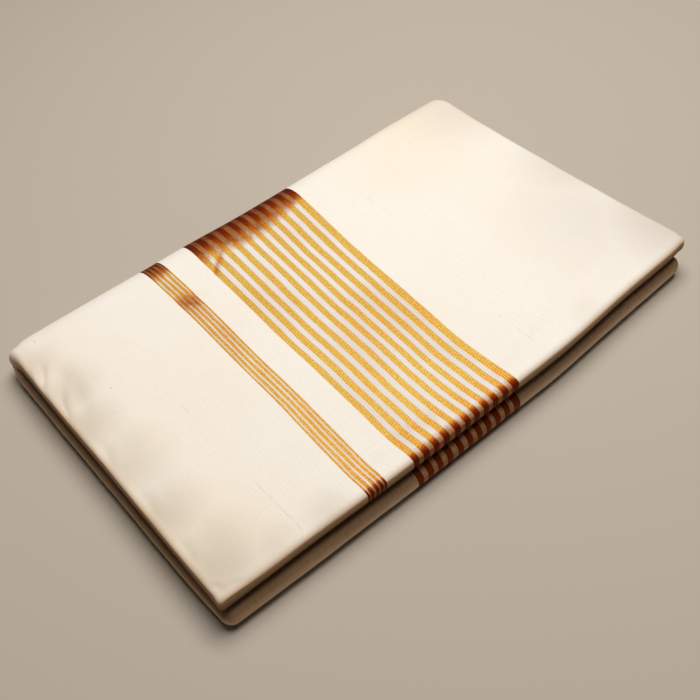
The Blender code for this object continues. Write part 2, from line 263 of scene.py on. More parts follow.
def squareOff(direction, normal, bundle):
    # pushes directions outward at the corners, seen from above, and between the top and the side of a roll
    power, rollPower = bundle["cornerPower"], bundle["rollPower"]
    flat = np.hypot(direction[..., 0], direction[..., 1])
    safe = np.maximum(flat, tiny)
    across, forward = direction[..., 0] / safe, direction[..., 1] / safe
    push = (np.abs(across) ** power + np.abs(forward) ** power) ** (-1 / power)
    push = np.where((flat > tiny) & (forward < 0), push, 1)
    rise = np.clip(np.abs((direction * normal).sum(-1)), 0, 1)
    outward = np.sqrt(1 - rise ** 2)
    bulge = (rise ** rollPower + outward ** rollPower) ** (-1 / rollPower)
    squared = direction * np.stack([push, push, np.ones_like(push)], -1) * bulge[..., None]
    along = normal * (squared * normal).sum(-1)[..., None]
    endOut, frontOut = bundle["lipOut"]
    reach = np.where(forward < 0, endOut + (frontOut - endOut) * forward ** 2, endOut)
    return along + (squared - along) * (1 + reach / rollRadius)[..., None]


def noseRise(most, rise):
    # lifts the nose of a roll, so that its edge is a thin lip over a slanted underside
    return most * np.where(rise > 0, 1 - rise, 1 + rise)


def ripple(s, t, side):
    shift, total = ripples["shift"][side], 0
    for wave in ripples["waves"]:
        first, second = [np.sin(a * s + b * t + c * shift) for a, b, c in (wave["first"], wave["second"])]
        total = total + wave["height"] * first * second
    return total


def creaseShapes(s, t, side):
    # how far the creases press the cloth in, and how far painted shade in them turns the gold
    lift, creaseShade = np.zeros_like(s), np.zeros_like(s)
    for crease in creases[side]:
        (x0, y0), (x1, y1) = crease["start"], crease["end"]
        long = math.hypot(x1 - x0, y1 - y0)
        along = ((s - x0) * (x1 - x0) + (t - y0) * (y1 - y0)) / long ** 2
        aside = ((t - y0) * (x1 - x0) - (s - x0) * (y1 - y0)) / long
        aside = aside - crease["bend"] * 4 * along * (1 - along)
        taper = smoothStep(*creaseForm["fadeIn"], along) * (1 - smoothStep(*creaseForm["fadeOut"], along))
        trough = np.exp(-((aside / crease["width"]) ** 2))
        brow = np.exp(-((aside / crease["width"] - creaseForm["browAway"]) ** 2))
        lift += crease["depth"] * taper * (creaseForm["browShare"] * brow - trough)
        creaseShade += crease["creaseShade"] * taper * trough
    return lift, creaseShade


def slump(name, place):
    edge = slumps[name]
    return edge["depth"] * smoothStep(edge["start"], edge["end"], place)


def layCloth(bundle, s, t, around):
    # everything that moves the cloth along its own normal; around is 1 on a roll's underside
    side = bundle["name"]
    lift, creaseShade = creaseShapes(s, t, side)
    lift += ripple(s, t, side)
    if side == "upper":
        lift -= slump("left", s) * (1 - smoothStep(*slumps["leftFade"], t))
        lift -= slump("right", s)
        lift -= slump("front", t)
    return lift * (1 - around), creaseShade


# How far painted shade and reflection turn the gold to copper, from 0 to 1, round the back fold, on the front
# roll, on the tucked edges and on the lower bundle; rest is a band's own tint. The first two lists say where
# it starts before the back fold, across a band from left to right, and darkest says where it is done.
copperShadeAndTint = {
    "broad": [
        (0.0, 0.106), (0.1, 0.112), (0.2, 0.109), (0.3, 0.103), (0.5, 0.102), (0.75, 0.107), (0.88, 0.112),
        (1.0, 0.114),
    ],
    "narrow": [(0.0, 0.116), (1.0, 0.117)],
    "darkest": {"broad": 0.141, "narrow": 0.149},
    "seam": 0.85,
    "seamDegrees": (0, 40),
    "front": 0.85,
    "frontDegrees": {"broad": (0, 60), "narrow": (10, 62)},
    "frontHold": 0.34,
    "holdDegrees": (5, 45),
    "nearFront": 0.08,
    "nearReach": (-0.120, -0.150),
    "rest": {"broad": 0, "narrow": 0.07},
    "underneath": 0.60,
    "underneathHold": 0.31,
    "tucked": 0.7,
}

# Painted shade on the cotton, from 0 to 1: on the lower bundle, the rolls, the left rim, the back fold and
# the tucked edges
paintedShade = {
    "lower": 0.26,
    "lowerFold": -0.16,
    "lowerTucked": 0.5,
    "leftRim": 0.05,
    "leftRimReach": (0.224, 0.243),
    "roll": 0.50,
    "rollDegrees": (22, 86),
    "rightEndLess": 0.65,
    "rightEndDegrees": (10, 60),
    "fold": 0.10,
    "foldDegrees": (10, 75),
    "tucked": 0.40,
}


def sheetColumns(left, right, end, width):
    # columns across a stretch: (left edge, right edge, share, end angle, end, pull)
    count = max(int(width / cloth["step"]), cloth["fewestColumns"])
    shares = np.linspace(0, 1, count + 1)
    pulls = {"Left": shares - 1, "Right": shares, None: shares * 0}[end]
    columns = [(left, right, share, 0.0, None, pull) for share, pull in zip(shares, pulls)]
    angles = np.arange(cloth["rollDegrees"], 90.01, cloth["rollDegrees"])
    if end == "Left":
        return [("Left", "Left", 0, angle, end, -1) for angle in angles[::-1]] + columns
    if end == "Right":
        return columns + [("Right", "Right", 0, angle, end, 1) for angle in angles]
    return columns


def columnX(bundle, column, y):
    def edgeX(edge):
        if edge in ("Left", "Right"):
            return endLine(bundle, y, edge, foldShare)
        return readCurve(bandEdges, "y", edge, y)

    left, right = edgeX(column[0]), edgeX(column[1])
    return left + column[2] * (right - left)


knownFrames = {}


def columnFrames(bundle, column):
    # roll centres of one column at every station, worked out once for each column
    key = (bundle["name"], *column[:3])
    if key not in knownFrames:
        x = np.zeros(stations)
        for _ in range(3):
            frames = stationFrames(bundle, x)
            x = columnX(bundle, column, frames[0])
        knownFrames[key] = (x, *frames)
    return knownFrames[key]


def columnPoints(bundle, column, tuck=None):
    # points of one column at every station, with their place on the unrolled cloth, the painted crease shade
    # on the gold and the painted shade on the cotton
    end, side = column[4], {"Left": -1, "Right": 1, None: 0}[column[4]]
    x, y, z, normalY, normalZ, unrolled = columnFrames(bundle, column)
    a = np.full(stations, math.radians(column[3]))
    b = frontAngle
    s, t = x + side * rollRadius * a, unrolled - rollRadius * b
    zero = np.zeros(stations)
    normal = np.stack([zero, normalY, normalZ], -1)
    ahead = np.stack([np.sin(a) * side, -np.sin(b), zero], -1)
    if tuck is None:
        direction = ahead + normal * (np.cos(a) * np.cos(b))[:, None]
        direction /= np.linalg.norm(direction, axis=1)[:, None]
        around = zero
    else:
        degrees, run = tuck
        room = np.clip(np.abs(z - middle) / rollRadius, cloth["leastTuck"], 1)
        share = np.minimum(np.degrees(np.arcsin(room)) / bundle["tuckDegrees"], 1)
        share = np.where(isBack, np.maximum(share, cloth["leastTuck"]), 1)
        x = x - column[5] * run * share * share
        y = np.where(isFront, y + run, y)
        flat = ahead / np.maximum(np.linalg.norm(ahead, axis=1), tiny)[:, None]
        under = math.radians(degrees)
        below = flat * math.cos(under) - normal * math.sin(under)
        turn = a + under * share
        beside = np.stack([np.sin(turn) * side, zero, zero], -1) + normal * np.cos(turn)[:, None]
        direction = np.where(isFront[:, None], below, beside)
        arc = rollRadius * under + run
        s = np.where(isFront, s, s + side * arc * share)
        t = np.where(isFront, t - arc, t)
        around = np.full(stations, min(degrees / cloth["tuckFade"], 1.0))
    shade = shadedCotton(bundle, a, b, s, around * np.minimum(share, 1) if tuck else zero)
    lift, creaseShade = layCloth(bundle, s, t, around)
    center = np.stack([x, y, z], -1)
    rise = (direction * normal).sum(-1)
    raised = noseRise(bundle["noseLift"], rise) * np.sin(foldAngle)
    flat = np.maximum(direction[:, 0] ** 2 + direction[:, 1] ** 2, tiny)
    raised = raised * (1 - bundle["cornerDrop"] * (2 * direction[:, 0] * direction[:, 1] / flat) ** 2)
    if end == "Left":
        raised = raised * (1 - bundle["foldDrop"] * smoothStep(*cloth["dropReach"], t))
    points = center + squareOff(direction, normal, bundle) * rollRadius
    points = points + direction * lift[:, None] + normal * raised[:, None]
    return points, s, t, creaseShade, shade


def tuckRings(bundle):
    count = math.ceil(bundle["tuckDegrees"] / cloth["tuckDegrees"])
    rings = [(bundle["tuckDegrees"] * (n + 1) / count, 0.0) for n in range(count)]
    steps = math.ceil(bundle["tuckRun"] / cloth["tuckStep"])
    return rings + [(bundle["tuckDegrees"], bundle["tuckRun"] * (n + 1) / steps) for n in range(steps)]


def nearTurn(band, t):
    # painted shade on the gold before it comes to the front roll, over a band's own tint
    start, stop = copperShadeAndTint["nearReach"]
    return copperShadeAndTint["nearFront"] * smoothStep(-start, -stop, -t) + copperShadeAndTint["rest"][band]


def turnedGold(bundle, band, share, t):
    # painted shade and reflection on the gold: 0 where it shows its full color, 1 where it is turned away
    # round the back fold
    seam, underneath = copperShadeAndTint["seam"], copperShadeAndTint["underneath"]
    over = smoothStep(*copperShadeAndTint["seamDegrees"], stationValue)
    if bundle["name"] == "lower":
        return np.where(isBack, underneath + (seam - underneath) * (1 - over), underneath)
    start = np.interp(share, *zip(*copperShadeAndTint[band]))
    back = np.clip((t - start) / (copperShadeAndTint["darkest"][band] - start), 0, 1)
    back = np.where(isBack, np.minimum(back, seam + (1 - seam) * over), back)
    front = copperShadeAndTint["front"] * smoothStep(*copperShadeAndTint["frontDegrees"][band], np.degrees(frontAngle))
    return np.maximum(np.maximum(back, nearTurn(band, t)), front)


def heldGaps(bundle, band, t):
    # how much less painted shade the pale gaps take than the gold beside them
    if bundle["name"] == "lower":
        over = smoothStep(*copperShadeAndTint["seamDegrees"], stationValue)
        return copperShadeAndTint["underneathHold"] * np.where(isBack, over, 1)
    front = copperShadeAndTint["frontHold"] * smoothStep(*copperShadeAndTint["holdDegrees"], np.degrees(frontAngle))
    return np.maximum(nearTurn(band, t), front)


def shadedCotton(bundle, a, b, s, tucked):
    # painted shade: 0 where the cloth is lit, 1 darkest between the bundles
    turn = np.degrees(np.arccos(np.clip(np.cos(a) * np.cos(b), -1, 1)))
    fold = np.where(isBack, 1 - smoothStep(*paintedShade["foldDegrees"], stationValue), 0)
    if bundle["name"] == "lower":
        return np.clip(paintedShade["lower"] + paintedShade["lowerFold"] * fold + paintedShade["lowerTucked"] * tucked, 0, 1)
    rim = paintedShade["leftRim"] * smoothStep(*paintedShade["leftRimReach"], -s)
    # painted shade on the rolls, lessened on the right end
    lessOnRightEnd = 1 - paintedShade["rightEndLess"] * smoothStep(*paintedShade["rightEndDegrees"], np.degrees(a)) * (s > 0)
    rolled = rim + paintedShade["roll"] * lessOnRightEnd * smoothStep(*paintedShade["rollDegrees"], turn)
    return np.clip(rolled * (1 - fold) + paintedShade["fold"] * fold + paintedShade["tucked"] * tucked, 0, 1)


def makeSheet(name, bundle, left, right, width):
    end = "Left" if left == "Left" else "Right" if right == "Right" else None
    columns = sheetColumns(left, right, end, width)
    points, cloths, bands, turns, shades, faces = [], [], [], [], [], []
    band = "narrow" if left == "narrowLeft" else "broad"
    woven = left in ("narrowLeft", "broadLeft")

    def addColumn(column, tuck, chosen):
        place, s, t, creaseShade, shade = columnPoints(bundle, column, tuck)
        turned = np.maximum(turnedGold(bundle, band, column[2], t), copperShadeAndTint["tucked"] if tuck else 0)
        points.append(place[chosen])
        cloths.append(np.stack([s, t], -1)[chosen])
        bands.append(np.stack([np.full(stations, column[2]), t], -1)[chosen])
        # painted crease shade turns the gold further
        turns.append(np.clip(turned + creaseShade, 0, 1)[chosen])
        shades.append((heldGaps(bundle, band, t) if woven else shade)[chosen])

    for column in columns:
        addColumn(column, None, slice(None))
    grid = np.arange(len(columns) * stations).reshape(len(columns), stations)
    faces.append(np.stack([grid[:-1, :-1], grid[1:, :-1], grid[1:, 1:], grid[:-1, 1:]], -1).reshape(-1, 4))

    # the tucked edge runs round the rim, from the left end along the front to the right end
    rim = [(i, 0) for i in range(len(columns))]
    if end == "Left":
        rim = [(0, j) for j in range(stations - 1, 0, -1)] + rim
    if end == "Right":
        rim = rim + [(len(columns) - 1, j) for j in range(1, stations)]
    above = np.array([grid[i, j] for i, j in rim])
    for tuck in tuckRings(bundle):
        order, place = {}, sum(len(p) for p in points)
        for i in sorted({i for i, _ in rim}):
            chosen = np.array(sorted({j for k, j in rim if k == i}))
            addColumn(columns[i], tuck, chosen)
            for j in chosen:
                order[(i, int(j))] = place
                place += 1
        below = np.array([order[spot] for spot in rim])
        faces.append(np.stack([below[:-1], below[1:], above[1:], above[:-1]], -1))
        above = below
    points, faces = np.concatenate(points), np.concatenate(faces)
    if bundle["name"] == "lower":
        faces = faces[:, ::-1]
        points[:, 2] = np.maximum(points[:, 2], 0)
    points = points - np.array([pack["centerX"], pack["centerY"], 0])
    marks = {"turned": turns, "shade": shades}
    return sheetObject(name, points, faces, {"cloth": cloths, "band": bands}, marks)


def addObject(name, mesh):
    made = bpy.data.objects.new(name, mesh)
    scene.collection.objects.link(made)
    bpy.ops.object.select_all(action="DESELECT")
    made.select_set(True)
    bpy.context.view_layer.objects.active = made
    return made


def sheetObject(name, points, faces, maps, marks):
    mesh = bpy.data.meshes.new(name)
    mesh.from_pydata(points.tolist(), [], faces.tolist())
    corners = np.empty(len(mesh.loops), int)
    mesh.loops.foreach_get("vertex_index", corners)
    for mapName, values in maps.items():
        places = np.concatenate(values)[corners].astype(np.float32).ravel()
        mesh.uv_layers.new(name=mapName).data.foreach_set("uv", places)
    for markName, values in marks.items():
        marked = np.concatenate(values).astype(np.float32)
        mesh.attributes.new(markName, "FLOAT", "POINT").data.foreach_set("value", marked)
    sheet = addObject(name, mesh)
    wall = sheet.modifiers.new("wall", "SOLIDIFY")
    wall.thickness, wall.offset, wall.use_even_offset = cloth["wall"], -1, False
    bpy.ops.object.modifier_apply(modifier="wall")
    bpy.ops.object.shade_smooth_by_angle(angle=cloth["smoothAngle"])
    return sheet


# The stretches of cloth that show: the edges each lies between, how wide its columns run, and its flat cut
stretches = tableOf(
    ("name", "node", "left", "right", "width", "slot", "cut"),
    ("upperLeftCloth", "upper_left_plain", "Left", "narrowLeft", 0.120, "cotton", (0.146, 0.350)),
    ("upperNarrowBand", "upper_narrow_band", "narrowLeft", "narrowRight", 0.017, "zari", (0.017, 0.350)),
    ("upperStripCloth", "upper_plain_strip", "narrowRight", "broadLeft", 0.026, "cotton", (0.026, 0.350)),
    ("upperBroadBand", "upper_broad_band", "broadLeft", "broadRight", 0.110, "zari", (0.110, 0.350)),
    ("upperRightCloth", "upper_right_plain", "broadRight", "Right", 0.205, "cotton", (0.231, 0.350)),
    ("lowerLeftCloth", "lower_left_plain", "Left", "broadLeft", 0.162, "cotton", (0.192, 0.366)),
    ("lowerBroadBand", "lower_broad_band", "broadLeft", "broadRight", 0.110, "zari", (0.110, 0.366)),
    ("lowerRightCloth", "lower_right_plain", "broadRight", "Right", 0.203, "cotton", (0.236, 0.366)),
)

sheets = {}
for stretch in stretches:
    name, edges = stretch["name"], (stretch["left"], stretch["right"])
    stretch["side"] = stretch["node"].split("_")[0]
    sheets[name] = makeSheet(name, bundles[stretch["side"]], *edges, stretch["width"])
print("cloth laid:", {name: len(sheet.data.polygons) for name, sheet in sheets.items()})

# Folded layers inside, one rounded stack with an edge for each layer
layers = {
    "count": 9,
    "levelsEach": 4,
    "radius": rollRadius - 0.0038,
    "mostLift": 0.003,
    "rollAngle": 80,
    "ridge": 0.0005,
    "creaseDepth": 0.0085,
    "creaseHalfHeight": 0.0019,
    "creaseRound": 0.0008,
    "foldHeight": middle - 0.0036,
    "foldReach": pack["backDepth"] - 0.0030,
    "mouthRecess": 0.0012,
    "mouthShares": (0.93, 1.0),
    "cornerDegrees": (0, 15, 30, 45, 60, 75),
    "foldShares": (0.25, 0.5, 0.75, 1),
    "longSteps": 120,
    "shortSteps": 60,
    "cornerY": -0.15,
}


def layerRing(bundle, z, inset):
    pull = 0 if inset > 0 else -inset + layers["creaseRound"]
    radius = inset if inset > 0 else layers["creaseRound"]
    shift = pull - radius
    fold = layers["foldReach"] * math.sqrt(max(1 - ((z - middle) / layers["foldHeight"]) ** 2, 0))

    def corner(end):
        return (1 if end == "Right" else -1), endLine(bundle, layers["cornerY"], end, 0)

    def cornerArc(end):
        sign, x = corner(end)
        angles = np.radians(layers["cornerDegrees"][::sign])
        centerX, centerY = x - sign * pull, frontLine(bundle, x) + pull
        return np.stack([centerX + sign * radius * np.sin(angles), centerY - radius * np.cos(angles)], -1)

    def endSide(end):
        sign, cornerX = corner(end)
        start, stop = frontLine(bundle, cornerX) + pull, backLine(cornerX)
        shares = np.linspace(0, 1, layers["shortSteps"] + 1)
        ys = start + (stop - start) * shares
        clear = shift + (layers["mouthRecess"] - shift) * smoothStep(*layers["mouthShares"], shares)
        xs = endLine(bundle, ys, end, 0) - sign * clear
        around = [(xs[-1], stop + fold * share) for share in layers["foldShares"]]
        return np.concatenate([np.stack([xs, ys], -1), around])

    leftCorner, rightCorner = cornerArc("Left"), cornerArc("Right")
    right, left = endSide("Right"), endSide("Left")[::-1]
    steps = np.linspace(0, 1, layers["longSteps"] + 1)[1:-1]
    frontX = leftCorner[-1, 0] + (rightCorner[0, 0] - leftCorner[-1, 0]) * steps
    backX = right[-1, 0] + (left[0, 0] - right[-1, 0]) * steps
    front = np.stack([frontX, frontLine(bundle, frontX) + shift], -1)
    back = np.stack([backX, backLine(backX) + fold], -1)
    outline = np.concatenate([leftCorner, front, rightCorner, right, back, left])
    outline = outline - np.array([pack["centerX"], pack["centerY"]])
    return np.column_stack([outline, np.full(len(outline), z)]).tolist()


def makeLayers():
    levels = []
    for side in ("lower", "upper"):
        bundle = bundles[side]
        center = middle + bundle["up"] * rollRadius
        each, steps = layers["levelsEach"], layers["levelsEach"] * layers["count"]
        for n in range(steps + 1):
            angle = math.radians(layers["rollAngle"] * (2 * n / steps - 1))
            ridge = layers["ridge"] * (0.5 - 0.5 * math.cos(2 * math.pi * n / each))
            lifted = noseRise(min(bundle["noseLift"], layers["mostLift"]), bundle["up"] * math.sin(angle))
            height = center + layers["radius"] * math.sin(angle) + bundle["up"] * lifted
            levels.append((bundle, float(height), layers["radius"] * math.cos(angle) - ridge))
        if side == "lower":
            crease = layers["creaseHalfHeight"]
            levels += [(bundle, middle + rise, -layers["creaseDepth"]) for rise in (-crease, crease)]
    rings = [layerRing(*level) for level in levels]
    count = len(rings[0])
    points = [point for ring in rings for point in ring]
    faces = [tuple(reversed(range(count))), tuple(range(len(points) - count, len(points)))]
    for k in range(len(rings) - 1):
        low, high = k * count, (k + 1) * count
        faces += [(low + n, low + (n + 1) % count, high + (n + 1) % count, high + n) for n in range(count)]
    mesh = bpy.data.meshes.new("foldedLayers")
    mesh.from_pydata(points, [], faces)
    stack = addObject("foldedLayers", mesh)
    bpy.ops.object.shade_smooth_by_angle(angle=cloth["smoothAngle"])
    return stack


foldedLayers = makeLayers()
print("folded layers:", len(foldedLayers.data.polygons))


# Node groups shared by the cloths
def nodeGroup(name, inputs, outputs):
    # an input given as None is a vector, and any other is a number with that default
    group = bpy.data.node_groups.new(name, "ShaderNodeTree")
    for socket, value in inputs.items():
        kind = "NodeSocketVector" if value is None else "NodeSocketFloat"
        made = group.interface.new_socket(socket, in_out="INPUT", socket_type=kind)
        if value is not None:
            made.default_value = value
    for socket in outputs:
        group.interface.new_socket(socket, in_out="OUTPUT", socket_type="NodeSocketFloat")
    return group, group.nodes.new("NodeGroupInput"), group.nodes.new("NodeGroupOutput")


def feed(tree, node, values):
    # links each socket to another node's output, or sets it to a plain value
    for socket, value in values.items():
        if isinstance(value, (int, float, tuple)):
            node.inputs[socket].default_value = value
        else:
            tree.links.new(value, node.inputs[socket])


def addMath(tree, operation, *values):
    node = tree.nodes.new("ShaderNodeMath")
    node.operation = operation
    feed(tree, node, dict(enumerate(values)))
    return node.outputs[0]


def multiply(tree, first, second):
    return addMath(tree, "MULTIPLY", first, second)


def plus(tree, first, second):
    return addMath(tree, "ADD", first, second)


def strongest(tree, values):
    most = values[0]
    for value in values[1:]:
        most = addMath(tree, "MAXIMUM", most, value)
    return most


def addNoise(tree, vector, scale, detail, roughness):
    node = tree.nodes.new("ShaderNodeTexNoise")
    feed(tree, node, {"Vector": vector, "Scale": scale, "Detail": detail, "Roughness": roughness})
    return node.outputs["Fac"]


def scaleVector(tree, vector, scale):
    node = tree.nodes.new("ShaderNodeVectorMath")
    node.operation = "MULTIPLY"
    feed(tree, node, {0: vector, 1: scale})
    return node.outputs[0]


def splitVector(tree, vector):
    node = tree.nodes.new("ShaderNodeSeparateXYZ")
    tree.links.new(vector, node.inputs[0])
    return node.outputs[0], node.outputs[1]


def threadNoise(tree, vector, scale, detail, roughness):
    # noise drawn out along the threads
    return addNoise(tree, scaleVector(tree, vector, scale), 1.0, detail, roughness)


def addRange(tree, value, low, high, newLow=0.0, newHigh=1.0, interpolation="LINEAR"):
    node = tree.nodes.new("ShaderNodeMapRange")
    node.interpolation_type = interpolation
    feed(tree, node, {"Value": value, "From Min": low, "From Max": high, "To Min": newLow, "To Max": newHigh})
    return node.outputs["Result"]


def addRamp(tree, value, stops, interpolation="LINEAR"):
    node = tree.nodes.new("ShaderNodeValToRGB")
    ramp = node.color_ramp
    ramp.interpolation = interpolation
    ramp.elements[0].position, ramp.elements[0].color = stops[0]
    ramp.elements[1].position, ramp.elements[1].color = stops[-1]
    for position, color in stops[1:-1]:
        ramp.elements.new(position).color = color
    tree.links.new(value, node.inputs["Fac"])
    return node.outputs["Color"]


def mixColor(tree, share, first, second, blend="MIX"):
    node = tree.nodes.new("ShaderNodeMix")
    node.data_type, node.blend_type = "RGBA", blend
    feed(tree, node, {0: share, 6: first, 7: second})
    return node.outputs[2]


def makeWeave():
    # plain handloom weave: threads over and under each other, with thick places along them
    group, given, out = nodeGroup("handloomWeave", {"Cloth": None, "Pitch": 0.00045}, ("Height", "Slub"))
    coords = given.outputs["Cloth"]
    across, along = splitVector(group, coords)
    turns = addMath(group, "DIVIDE", math.pi, given.outputs["Pitch"])
    warp = addMath(group, "SINE", multiply(group, across, turns))
    weft = addMath(group, "SINE", multiply(group, along, turns))
    over = multiply(group, warp, weft)
    threads = addMath(group, "MAXIMUM", addMath(group, "ABSOLUTE", warp), addMath(group, "ABSOLUTE", weft))
    height = plus(group, multiply(group, over, 0.5), threads)
    warpSlub = threadNoise(group, coords, (1900, 55, 1), 2.0, 0.6)
    weftSlub = threadNoise(group, coords, (48, 1700, 1), 2.0, 0.6)
    slub = multiply(group, plus(group, warpSlub, weftSlub), 0.5)
    feed(group, out, {"Height": plus(group, height, slub), "Slub": slub})
    return group


def makeMottle():
    # slow change of tone over the cloth, and the fine nap
    group, given, out = nodeGroup("clothMottle", {"Cloth": None}, ("Patch", "Nap"))
    patch = addNoise(group, given.outputs["Cloth"], 9.0, 3.0, 0.5)
    nap = addNoise(group, given.outputs["Cloth"], 900.0, 3.0, 0.65)
    feed(group, out, {"Patch": patch, "Nap": nap})
    return group


def makeZari():
    # metal thread: ribs along the stripe, each broken into short dashes that step from rib to rib, with
    # painted glints on the ribs
    inputs = {"Local": 0.0, "Along": 0.0, "Cloth": None, "Ribs": 4.0, "Dash": 0.0016}
    group, given, out = nodeGroup("zariThread", inputs, ("Height", "Dark", "Glint"))
    coords = given.outputs["Cloth"]
    ribs = multiply(group, given.outputs["Local"], given.outputs["Ribs"])
    groove = addRange(group, addMath(group, "COSINE", multiply(group, ribs, 2 * math.pi)), -1.0, 1.0)
    step = multiply(group, addMath(group, "FLOOR", ribs), 0.25)
    dashes = plus(group, addMath(group, "DIVIDE", given.outputs["Along"], given.outputs["Dash"]), step)
    wobble = threadNoise(group, coords, (60, 30, 1), 1.0, 0.5)
    dashes = plus(group, dashes, multiply(group, wobble, 1.2))
    dash = multiply(group, addMath(group, "PINGPONG", dashes, 0.5), 2.0)
    speckle = threadNoise(group, coords, (620, 420, 1), 2.0, 0.6)
    spark = threadNoise(group, coords, (560, 480, 1), 1.0, 0.5)
    sharpGroove = addRange(group, groove, 0.30, 0.80)
    dark = multiply(group, sharpGroove, 0.62)
    dark = plus(group, dark, multiply(group, addRange(group, dash, 0.45, 0.75), 0.38))
    dark = multiply(group, dark, addRange(group, speckle, 0.36, 0.58, 0.55, 1.15))
    shine = addMath(group, "SUBTRACT", 1.0, sharpGroove)
    feed(group, out, {
        "Height": addMath(group, "SUBTRACT", addRange(group, dash, 0.0, 1.0, 0.5, 0.0), groove),
        "Dark": addMath(group, "MINIMUM", dark, 1.0),
        "Glint": multiply(group, addRange(group, spark, 0.46, 0.62), shine),
    })
    return group


weaveGroup, mottleGroup, zariGroup = makeWeave(), makeMottle(), makeZari()


def newMaterial(name):
    material = bpy.data.materials.new(name)
    material.use_nodes = True
    tree = material.node_tree
    return material, tree, tree.nodes["Principled BSDF"]


def uvOf(tree, name):
    node = tree.nodes.new("ShaderNodeUVMap")
    node.uv_map = name
    return node.outputs["UV"]


def useGroup(tree, group, **values):
    node = tree.nodes.new("ShaderNodeGroup")
    node.node_tree = group
    feed(tree, node, values)
    return node.outputs


def addBump(tree, height, strength, distance, normal=None):
    node = tree.nodes.new("ShaderNodeBump")
    feed(tree, node, {"Height": height, "Strength": strength, "Distance": distance})
    if normal is not None:
        tree.links.new(normal, node.inputs["Normal"])
    return node.outputs["Normal"]


def paint(red, green, blue):
    # a screen color as the shader wants it
    shares = [value / 255 for value in (red, green, blue)]
    return (*[share / 12.92 if share < 0.0404 else ((share + 0.055) / 1.055) ** 2.4 for share in shares], 1)


def attributeOf(tree, name):
    node = tree.nodes.new("ShaderNodeAttribute")
    node.attribute_name = name
    return node.outputs["Fac"]


cotton = {
    "pale": paint(243, 240, 235),
    "warm": paint(243, 231, 214),
    "grain": paint(206, 194, 178),
    # painted shade: on the rolls and the lower bundle, and darkest between the bundles
    "shadeTone": paint(190, 140, 72),
    "deepShade": paint(74, 44, 18),
    "threadLine": paint(190, 160, 120),
    # painted shade along the edges
    "edgeShadeTone": paint(192, 178, 156),
    # painted shade by the right end
    "rightEndShadeTone": paint(196, 187, 178),
    "speck": paint(150, 120, 90),
    "weaveDepth": 0.00010,
    "roughness": 0.88,
    "specular": 0.25,
    "sheen": 0.12,
    "sheenRoughness": 0.6,
    "markWidth": 0.00035,
    "speckRadius": 0.0011,
}

# Places where the cloth has yellowed: x, y, radius, strength
yellowed = [
    (0.180, 0.120, 0.130, 0.85), (-0.190, -0.020, 0.120, 0.55), (-0.205, -0.110, 0.100, 0.65),
    (-0.225, 0.100, 0.080, 0.55), (0.215, -0.030, 0.070, 0.30),
]

# Places along the edges painted darker as shade: x, y, radius, strength
paintedEdgeShade = [
    (-0.240, 0.108, 0.034, 1.00), (-0.231, 0.072, 0.042, 1.00), (-0.238, 0.030, 0.044, 0.95),
    (-0.233, -0.020, 0.050, 0.85), (-0.238, -0.075, 0.048, 1.00), (-0.232, -0.132, 0.060, 1.20),
    (-0.196, -0.150, 0.036, 0.80), (-0.150, -0.154, 0.030, 0.70), (0.120, -0.154, 0.026, 0.25),
]

# Places by the right end painted darker as shade: x, y, radius, strength
paintedRightEndShade = [
    (0.262, -0.130, 0.100, 1.50), (0.262, -0.020, 0.090, 1.00), (0.258, 0.120, 0.100, 0.90),
    (0.215, -0.080, 0.110, 0.60),
]

# Slub threads on the upper cloth, as x, start y and end y, and specks, as x and y
slubLines = [
    (-0.1722, -0.031, -0.003), (-0.1716, -0.150, -0.085), (0.0880, 0.045, 0.095), (0.0668, -0.150, -0.105),
]
specks = [(-0.2224, 0.1351), (-0.2021, 0.0483)]


def softPatches(tree, coords, places):
    spots = []
    for x, y, radius, strength in places:
        node = tree.nodes.new("ShaderNodeVectorMath")
        node.operation = "DISTANCE"
        feed(tree, node, {0: coords, 1: (x, y, 0)})
        spots.append(addRange(tree, node.outputs["Value"], 0, radius, strength, 0, "SMOOTHSTEP"))
    return strongest(tree, spots)


def cottonColor(tree, coords):
    mottle = useGroup(tree, mottleGroup, Cloth=coords)
    weave = useGroup(tree, weaveGroup, Cloth=coords)
    warm = addRange(tree, mottle["Patch"], 0.35, 0.65, -0.15, 0.25)
    warm = addRange(tree, plus(tree, softPatches(tree, coords, yellowed), warm), 0.0, 1.0)
    # painted shade along the edges, broken up by the mottle
    edgeShadeShare = addRange(tree, mottle["Patch"], 0.30, 0.62, 0.6, 1.2)
    edgeShadeShare = multiply(tree, softPatches(tree, coords, paintedEdgeShade), edgeShadeShare)

    # painted shade of the rolls, the tucked edges and the lower bundle, broken up along the threads that run
    # round them
    streak = addRange(tree, threadNoise(tree, coords, (700, 160, 1), 2.0, 0.6), 0.3, 0.7, -0.5, 0.5)
    shade = attributeOf(tree, "shade")
    shade = plus(tree, shade, multiply(tree, streak, multiply(tree, shade, 0.12)))
    color = cotton["pale"]
    # the warm patches, nap and slubs are the cloth's own; the edge, right-end and roll tones are painted
    # shade
    for tone, share in (
        ("warm", warm),
        ("edgeShadeTone", multiply(tree, edgeShadeShare, 0.50)),
        ("rightEndShadeTone", multiply(tree, softPatches(tree, coords, paintedRightEndShade), 0.50)),
        ("grain", addRange(tree, mottle["Nap"], 0.36, 0.66, 0.0, 0.26)),
        ("grain", addRange(tree, weave["Slub"], 0.50, 0.68, 0.0, 0.24)),
        ("shadeTone", addRange(tree, shade, 0.0, 0.5, 0.0, 0.8)),
        ("deepShade", addRange(tree, shade, 0.5, 1.0)),
    ):
        color = mixColor(tree, share, color, cotton[tone])
    return color, mottle, weave


